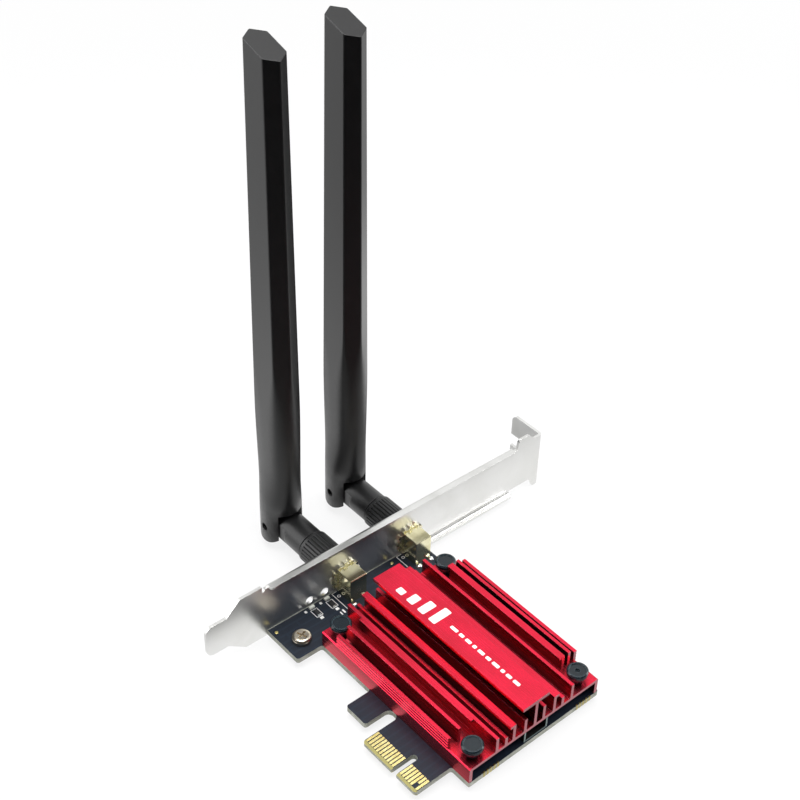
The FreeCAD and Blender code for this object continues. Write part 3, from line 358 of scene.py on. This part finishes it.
def makeAnodised():
    # anodised aluminium extrusion: dyed oxide over metal, with fine draw lines along its length
    v = anodisedValues
    material, tree, shader = newMaterial("redAnodisedAluminium", {
        "Metallic": 1.0, "Coat Weight": v["coat"], "Coat IOR": v["coatIndex"],
        "Coat Roughness": v["rough"][1]})
    fine, broad = 1 / v["lineSize"], 1 / v["cloudWide"]
    lines = noise(tree, patternPlace(tree, (1 / v["lineLength"], fine, fine)), fineDetail, v["lineSharp"])
    cloud = noise(tree, patternPlace(tree, (1 / v["cloudLong"], broad, broad)))
    tone = twoTone(tree, cloud, v["toneStops"], v["deep"], v["red"])
    soft = softEdges(tree, v["edge"])
    # the sawn ends of the extrusion took less dye, so they show paler
    normal = addNode(tree, "ShaderNodeNewGeometry").outputs["True Normal"]
    facing = addNode(tree, "ShaderNodeSeparateXYZ", links={"Vector": normal}).outputs
    cutEnd = compare(tree, "GREATER_THAN", absolute(tree, facing["X"]), v["endFacing"])
    dyed = blend(tree, cutEnd, tone, v["cutEnd"])
    # along every sharp edge a painted highlight draws a fine pink line
    highlighted = blend(tree, edgeShare(tree, soft, v["edgeHighlightTurn"], v["edgeHighlightShare"]), dyed, v["edgeHighlight"])
    # deep in the channels a painted shade darkens the dye almost to black
    openness = addNode(tree, "ShaderNodeAmbientOcclusion", {"samples": v["channelShadeSamples"]},
                       values={"Distance": v["channelShadeReach"]})
    depth = greyRamp(tree, openness.outputs["AO"], v["channelShadeStops"])
    coat(tree, shader, blend(tree, 1.0, highlighted, depth, "MULTIPLY"), remap(tree, lines, *v["rough"]),
         relief(tree, lines, v["lineBump"], v["lineDeep"], soft))
    return material


boardValues = {"lacquer": "#131c29", "copperUnder": "#172230", "index": 1.38, "halfThick": 0.79 * mm,
               "edge": "#a9aaa0", "fibreDark": "#8f9186", "fibreStops": (0.35, 0.65), "sawnRough": 0.75,
               "bevelTone": "#a59d62", "bevelY": 0.72 * mm, "bevelZ": 0.48 * mm, "bracketEdgeX": -57.05 * mm,
               "trackGap": 2.2 * mm, "trackLine": 0.14, "trackSoft": 0.1, "trackLong": 5.2,
               "trackShift": 0.37, "trackSquash": 1.6, "squashRows": 3, "trackBump": 0.10,
               "trackHigh": 0.02 * mm, "mottle": 2.5 * mm, "rough": (0.42, 0.52)}


def makeTracks(tree):  # where copper tracks run under the lacquer, across the card
    v = boardValues
    return addNode(tree, "ShaderNodeTexBrick",
                   {"offset": v["trackShift"], "offset_frequency": 2, "squash": v["trackSquash"],
                    "squash_frequency": v["squashRows"]},
                   values={"Scale": 1.0, "Mortar Size": v["trackLine"], "Mortar Smooth": v["trackSoft"],
                           "Brick Width": v["trackLong"], "Row Height": 1.0, "Color1": grey(0),
                           "Color2": grey(0), "Mortar": grey(1)},
                   links={"Vector": patternPlace(tree, [1 / v["trackGap"]] * 3, (0, 0, math.radians(90)))}
                   ).outputs["Color"]


def makeBoardLacquer():
    # glass-fibre laminate under dark solder lacquer: glossy faces with faint raised tracks, pale sawn edges
    v = boardValues
    material, tree, shader = newMaterial("darkSolderLacquer", {"IOR": v["index"]})
    axes = placeAxes(tree)
    height = absolute(tree, axes["Z"])
    sawn = combine(tree, "MAXIMUM", compare(tree, "LESS_THAN", height, v["halfThick"]),
                   compare(tree, "LESS_THAN", axes["X"], v["bracketEdgeX"]))
    tracks = makeTracks(tree)
    mottle = noise(tree, patternPlace(tree, [1 / v["mottle"]] * 3), fineDetail)
    fibre = twoTone(tree, mottle, v["fibreStops"], v["fibreDark"], v["edge"])
    # the chamfer that leads the contacts into the slot shows the laminate's yellow resin
    chamfer = combine(tree, "MULTIPLY", compare(tree, "LESS_THAN", axes["Y"], v["bevelY"]),
                      compare(tree, "GREATER_THAN", height, v["bevelZ"]))
    colour = blend(tree, sawn, blend(tree, tracks, v["lacquer"], v["copperUnder"]),
                   blend(tree, chamfer, fibre, v["bevelTone"]))
    rough = addNode(tree, "ShaderNodeMix", values={3: v["sawnRough"]},
                    links={0: sawn, 2: remap(tree, mottle, *v["rough"])}).outputs[0]
    coat(tree, shader, colour, rough, relief(tree, tracks, v["trackBump"], v["trackHigh"]))
    return material


nickelValues = {"bright": "#ececea", "shade": "#e2e2df", "toneStops": (0.35, 0.6), "grain": 0.25 * mm,
                "grainLong": 3.5 * mm, "grainBump": 0.05, "grainDeep": 0.03 * mm, "rub": 14 * mm,
                "rubCurl": 0.6, "rubReach": (0.3, 0.7), "rough": (0.27, 0.35), "edge": 0.12 * mm}


def makeNickel():
    # bright nickel plating on rolled steel sheet: a soft mirror with faint rolling grain and rubbed patches
    v = nickelValues
    material, tree, shader = newMaterial("brightNickelPlate", {"Metallic": 1.0})
    grain = noise(tree, patternPlace(tree, (1 / v["grain"], 1 / v["grainLong"], 1 / v["grain"])))
    rub = noise(tree, patternPlace(tree, [1 / v["rub"]] * 3), fineDetail, distortion=v["rubCurl"])
    coat(tree, shader, twoTone(tree, rub, v["toneStops"], v["shade"], v["bright"]),
         remap(tree, rub, *v["rough"], v["rubReach"]),
         relief(tree, grain, v["grainBump"], v["grainDeep"], softEdges(tree, v["edge"])))
    return material


metalValues = {"driftGrains": 10, "markGrains": 4, "bump": 0.12, "deep": 0.02 * mm, "toneStops": (0.35, 0.65)}


def makeMetal(name, light, dark, grain, rough, edge=0.08):  # grain and edge in millimetres
    # plated or machined metal: tone drifts a little and fine tool marks break the reflection
    v = metalValues
    material, tree, shader = newMaterial(name, {"Metallic": 1.0})
    size = grain * mm
    drift = noise(tree, patternPlace(tree, [1 / (size * v["driftGrains"])] * 3), fineDetail)
    marks = noise(tree, patternPlace(tree, (1 / size, 1 / (size * v["markGrains"]), 1 / size)))
    coat(tree, shader, twoTone(tree, drift, v["toneStops"], dark, light), remap(tree, marks, *rough),
         relief(tree, marks, v["bump"], v["deep"], softEdges(tree, edge * mm)))
    return material


plasticValues = {"index": 1.52, "driftGrains": 30, "poreSharp": 0.7, "deep": 0.03 * mm,
                 "toneStops": (0.3, 0.7), "rimTurn": (0.99, 0.80), "rimShare": 1.0}


def makePlastic(name, light, dark, grain, rough, bump=0.15, edge=0.12, rim=None):  # grain and edge likewise
    # moulded plastic: fine eroded grain of the mould, softened edges, slight tone drift
    v = plasticValues
    material, tree, shader = newMaterial(name, {"IOR": v["index"]})
    size = grain * mm
    drift = noise(tree, patternPlace(tree, [1 / (size * v["driftGrains"])] * 3))
    pores = noise(tree, patternPlace(tree, [1 / size] * 3), fineDetail, v["poreSharp"])
    tone = twoTone(tree, drift, v["toneStops"], dark, light)
    soft = softEdges(tree, edge * mm)
    if rim:  # edges get a painted pale highlight
        tone = blend(tree, edgeShare(tree, soft, v["rimTurn"], v["rimShare"]), tone, rim)
    coat(tree, shader, tone, remap(tree, pores, *rough), relief(tree, pores, bump, v["deep"], soft))
    return material


casing = {"light": "#0e0e0f", "dark": "#0b0b0c", "grain": 0.12, "rough": (0.30, 0.42), "bump": 0.08,
          "edge": 0.3}  # shared by the aerials' bases, nuts and blades
bladeValues = {"rootRound": 6.5 * mm, "tipRound": casing["edge"] * mm, "roundReach": (40 * mm, 66 * mm),
               "samples": 8}


def makeBladeCasing():
    # the same satin black as the other mouldings, but its corners open into broad curves near the hinge
    v = bladeValues
    material = makePlastic("satinBlackBlade", **casing)
    tree = material.node_tree
    rounding = remap(tree, placeAxes(tree)["Z"], v["rootRound"], v["tipRound"], v["roundReach"],
                     "SMOOTHSTEP")
    soft = next(node for node in tree.nodes if node.type == "BEVEL")
    soft.samples = v["samples"]
    tree.links.new(rounding, soft.inputs["Radius"])
    return material


shroudValues = {"rim": "#788684", "rimDark": "#6a7876", "rimStops": (0.3, 0.7), "inside": "#060606",
                "rimX": 14.1 * mm, "grain": 0.33 * mm, "rough": 0.5}


def makeShroud():
    # black moulded header: its front rim carries a painted highlight as a thin pale outline, and the rest is
    # its own black darkened further by painted shade
    v = shroudValues
    material, tree, shader = newMaterial("headerPlastic", {"Roughness": v["rough"]})
    grain = noise(tree, patternPlace(tree, [1 / v["grain"]] * 3))
    front = compare(tree, "GREATER_THAN", placeAxes(tree)["X"], v["rimX"])
    rim = twoTone(tree, grain, v["rimStops"], v["rimDark"], v["rim"])
    tree.links.new(blend(tree, front, v["inside"], rim), shader.inputs["Base Color"])
    return material


metalFinishes = {
    # gold flash over nickel: warm, pale, mirror smooth
    "gold": {"name": "goldFlash", "light": "#f8eba8", "dark": "#ead78a", "grain": 0.2,
             "rough": (0.20, 0.34), "edge": 0.03},
    # spring washers: the palest of the gold-coloured parts
    "paleGold": {"name": "paleWasherGold", "light": "#f8f5e4", "dark": "#e6e0c4", "grain": 0.2,
                 "rough": (0.16, 0.28), "edge": 0.05},
    # pale plated brass, milled then tumbled: greenish gold with short tool marks
    "brass": {"name": "paleTurnedBrass", "light": "#f4efcb", "dark": "#e0d9b0", "grain": 0.4,
              "rough": (0.12, 0.20)},
    # smoked nickel screw: mirror with a brown cast
    "blackNickel": {"name": "blackNickel", "light": "#e6ddcc", "dark": "#bdb3a4", "grain": 0.4,
                    "rough": (0.18, 0.30)},
    # solder frozen in small beads: cold silver with soft glints
    "tin": {"name": "brightSolder", "light": "#dfe2e3", "dark": "#aeb2b5", "grain": 0.3,
            "rough": (0.14, 0.34)},
    # tinned sheet cover: grey and half matt
    "shield": {"name": "tinnedShield", "light": "#c6c8c8", "dark": "#a2a4a4", "grain": 0.3,
               "rough": (0.25, 0.42)},
    # blackened steel hinge pin: dark grey with a metal glint
    "pin": {"name": "darkHingePin", "light": "#303032", "dark": "#1c1c1e", "grain": 0.15,
            "rough": (0.3, 0.45)}}
plasticFinishes = {
    # satin black moulded casing: spark-eroded grain that spreads the light
    "abs": {"name": "satinBlackAbs", **casing},
    # dark slate nylon of the snap rivets: slightly waxy, with a painted pale blue highlight on the rims
    "nylon": {"name": "slateNylon", "light": "#0f1b22", "dark": "#08131a", "grain": 0.2,
              "rough": (0.20, 0.30), "bump": 0.06, "edge": 0.15, "rim": "#5f7780"},
    # glass-filled socket: matt charcoal
    "socket": {"name": "blackSocketPlastic", "light": "#1b1b1b", "dark": "#101010", "grain": 0.15,
               "rough": (0.4, 0.55)},
    # moulded chip bodies: flat black with a dusty sheen
    "epoxy": {"name": "blackChipEpoxy", "light": "#202022", "dark": "#141416", "grain": 0.1,
              "rough": (0.45, 0.6)},
    # capacitor bodies: fired clay, tan and dry
    "ceramic": {"name": "tanCeramic", "light": "#a98a63", "dark": "#8a6c48", "grain": 0.1,
                "rough": (0.5, 0.65)},
    # unlit lamps: milky and smooth
    "lens": {"name": "milkyLampLens", "light": "#f2f4ec", "dark": "#dfe3d6", "grain": 0.2,
             "rough": (0.2, 0.3)},
    # screen print: opaque white with a chalky surface
    "ink": {"name": "whiteScreenInk", "light": "#f6f6f4", "dark": "#e9e9e6", "grain": 0.1,
            "rough": (0.5, 0.6), "bump": 0.05, "edge": 0.01},
    # insulators: ivory white, greasy sheen
    "fluoropolymer": {"name": "whiteFluoropolymer", "light": "#f0efe9", "dark": "#e0dfd6", "grain": 0.2,
                      "rough": (0.4, 0.5)},
    # hidden module board: the usual green lacquer
    "moduleLacquer": {"name": "greenModuleLacquer", "light": "#1f4a35", "dark": "#173a29", "grain": 0.3,
                      "rough": (0.3, 0.4)},
    # thermal pad: rubbery, flat grey
    "pad": {"name": "greyThermalRubber", "light": "#8b929c", "dark": "#767d88", "grain": 0.2,
            "rough": (0.7, 0.85)},
    # lead jackets: soft black with a dull shine
    "jacket": {"name": "blackLeadJacket", "light": "#1c1c1c", "dark": "#121212", "grain": 0.2,
               "rough": (0.35, 0.45)}}
finishes = {"anodised": makeAnodised(), "lacquer": makeBoardLacquer(), "nickel": makeNickel(),
            "blade": makeBladeCasing(), "shroud": makeShroud()}
for key, values in metalFinishes.items():
    finishes[key] = makeMetal(**values)
for key, values in plasticFinishes.items():
    finishes[key] = makePlastic(**values)
print("finishes made:", len(finishes))

dress(["circuit_board"], finishes["lacquer"])
dress(["contacts_top", "contacts_bottom", "edge_pads", "module_receptacles", "board_receptacles",
       "header_pins", "jack_nuts"] + both("jack_contact", "plug_pin"), finishes["gold"])
dress(["lock_washers"], finishes["paleGold"])
dress(["bracket"], finishes["nickel"])
dress(["board_screw", "module_screw"], finishes["blackNickel"])
dress(["heat_sink"], finishes["anodised"])
dress(["thermal_pad"], finishes["pad"])
dress(["rivet_sleeves", "rivet_plungers"], finishes["nylon"])
dress(["module_board"] + both("radiator"), finishes["moduleLacquer"])
dress(["module_shield", "module_standoff"], finishes["shield"])
dress(["module_socket"], finishes["socket"])
dress(["coaxial_leads"], finishes["jacket"])
dress(["header_shroud"], finishes["shroud"])
dress(["regulator_chip", "power_inductor", "chip_resistors"], finishes["epoxy"])
dress(["chip_capacitors"], finishes["ceramic"])
dress(["status_lamps"], finishes["lens"])
dress(["solder_joints"], finishes["tin"])
dress(both("jack_body", "coupling_insert", "plug_body"), finishes["brass"])
dress(both("jack_insulator", "plug_insulator"), finishes["fluoropolymer"])
dress(both("coupling_nut", "aerial_base"), finishes["abs"])
dress(both("aerial_blade"), finishes["blade"])
dress(both("pivot_pin"), finishes["pin"])
print("nodes dressed")


# Print on the wide plate: rising bars and a row of dashes

plateMarkValues = {"barX": -36.6, "barWide": 2.5, "barGap": 1.9, "barBase": 30.4, "barCorner": 0.4,
                   "barHeights": (2.0, 3.4, 4.8, 6.2), "dashX": -17.6, "dashEnd": 8.2, "dashY": 33.3,
                   "dashes": (2.6, 1.6, 2.0, 1.2, 2.2, 1.6, 2.4, 1.2, 1.8, 2.2), "dashHigh": 1.0,
                   "dashCorner": 0.3, "thick": 0.02}


def makePlateMark():
    v = plateMarkValues
    mesh = bmesh.new()
    z = topOf("heat_sink") + v["thick"] / 2
    for i, high in enumerate(v["barHeights"]):
        x = v["barX"] + i * (v["barWide"] + v["barGap"]) + v["barWide"] / 2
        addTile(mesh, (x, v["barBase"] + high / 2, z), (v["barWide"], high, v["thick"]), v["barCorner"])
    gap = (v["dashEnd"] - v["dashX"] - sum(v["dashes"])) / (len(v["dashes"]) - 1)
    x = v["dashX"]
    for long in v["dashes"]:
        addTile(mesh, (x + long / 2, v["dashY"], z), (long, v["dashHigh"], v["thick"]), v["dashCorner"])
        x += long + gap
    finishPiece(mesh, "plate_print", finishes["ink"], "card")


# White outlines on the board

boardTop = topOf("circuit_board")
boardMarkValues = {"thick": 0.02, "line": 0.16,
                   "frames": ((-53.9, 17.6, 3.0, 2.0), (-53.9, 22.75, 3.0, 2.0)),
                   "strokes": ((-53.2, 24.9, 7.2, 0.16), (-56.8, 25.7, 0.16, 1.7), (-54.3, 47.9, 5.0, 0.16),
                               (-56.8, 48.8, 0.16, 1.9), (-51.6, 17.6, 0.9, 1.0), (-51.5, 22.75, 0.9, 1.0),
                               (-55.9, 15.4, 0.8, 0.7), (-56.0, 20.5, 0.8, 0.7), (-49.7, 23.6, 1.4, 0.5),
                               (-49.5, 22.6, 1.2, 0.35)),
                   "rings": ((-55.0, 26.0), (-55.4, 49.3)), "ringRadius": 0.5, "ringSides": 24}


def makeBoardMarks():
    v = boardMarkValues
    mesh = bmesh.new()
    z = boardTop + v["thick"] / 2
    for x, y, wide, high in v["frames"]:
        for s in (-1, 1):
            addTile(mesh, (x, y + s * high / 2, z), (wide, v["line"], v["thick"]))
            addTile(mesh, (x + s * wide / 2, y, z), (v["line"], high - v["line"], v["thick"]))
    for x, y, wide, high in v["strokes"]:
        addTile(mesh, (x, y, z), (wide, high, v["thick"]))
    for x, y in v["rings"]:
        outer = bmesh.ops.create_circle(mesh, cap_ends=False, radius=v["ringRadius"] * mm,
                                        segments=v["ringSides"])["verts"]
        edges = list({e for vert in outer for e in vert.link_edges})
        grown = bmesh.ops.extrude_edge_only(mesh, edges=edges)["geom"]
        inner = [g for g in grown if isinstance(g, bmesh.types.BMVert)]
        share = 1 - v["line"] / v["ringRadius"]
        bmesh.ops.scale(mesh, vec=(share, share, 1), verts=inner)
        bmesh.ops.translate(mesh, vec=(x * mm, y * mm, (boardTop + v["thick"]) * mm), verts=outer + inner)
    finishPiece(mesh, "board_print", finishes["ink"], "card")


# Solder on the component side, and bare gold test spots

solderValues = {"blobs": ((-49.9, 27.4, 0.8), (-50.3, 31.6, 0.75), (-50.0, 50.7, 0.8), (-50.1, 55.1, 0.8)),
                "blobSides": 20, "blobRings": 12, "flat": 0.55,
                "chipEnds": ((-55.05, 17.6), (-52.75, 17.6), (-55.05, 22.75), (-52.75, 22.75)),
                "endSize": (0.55, 1.0, 0.3), "endCorner": 0.12, "smoothSide": 0.4,
                "spots": ((-55.0, 5.0), (-55.7, 45.4)), "spotRadius": 0.5, "spotTop": 0.8, "spotHigh": 0.06,
                "spotSides": 24}


def makeSolder():
    v = solderValues
    mesh = bmesh.new()
    for x, y, radius in v["blobs"]:
        made = bmesh.ops.create_uvsphere(mesh, u_segments=v["blobSides"], v_segments=v["blobRings"],
                                         radius=radius * mm)["verts"]
        bmesh.ops.scale(mesh, vec=(1, 1, v["flat"]), verts=made)
        bmesh.ops.translate(mesh, vec=(x * mm, y * mm, boardTop * mm), verts=made)
        faces = list({f for vert in made for f in vert.link_faces})
        edges = list({e for vert in made for e in vert.link_edges})
        bmesh.ops.bisect_plane(mesh, geom=made + faces + edges, plane_co=(0, 0, boardTop * mm),
                               plane_no=(0, 0, -1), clear_outer=True)
    for x, y in v["chipEnds"]:
        addTile(mesh, (x, y, boardTop + v["endSize"][2] / 2), v["endSize"], v["endCorner"])
    piece = finishPiece(mesh, "board_solder", finishes["tin"], "card")
    for face in piece.data.polygons:
        face.use_smooth = len(face.vertices) == 4 and face.area < (v["smoothSide"] * mm) ** 2


def makeTestSpots():
    v = solderValues
    mesh = bmesh.new()
    for x, y in v["spots"]:
        made = bmesh.ops.create_cone(mesh, cap_ends=True, segments=v["spotSides"],
                                     radius1=v["spotRadius"] * mm,
                                     radius2=v["spotRadius"] * v["spotTop"] * mm,
                                     depth=v["spotHigh"] * mm)["verts"]
        bmesh.ops.translate(mesh, vec=(x * mm, y * mm, (boardTop + v["spotHigh"] / 2) * mm), verts=made)
    finishPiece(mesh, "test_spots", finishes["gold"], "card")


makePlateMark()
makeBoardMarks()
makeSolder()
makeTestSpots()
print("print and solder made")
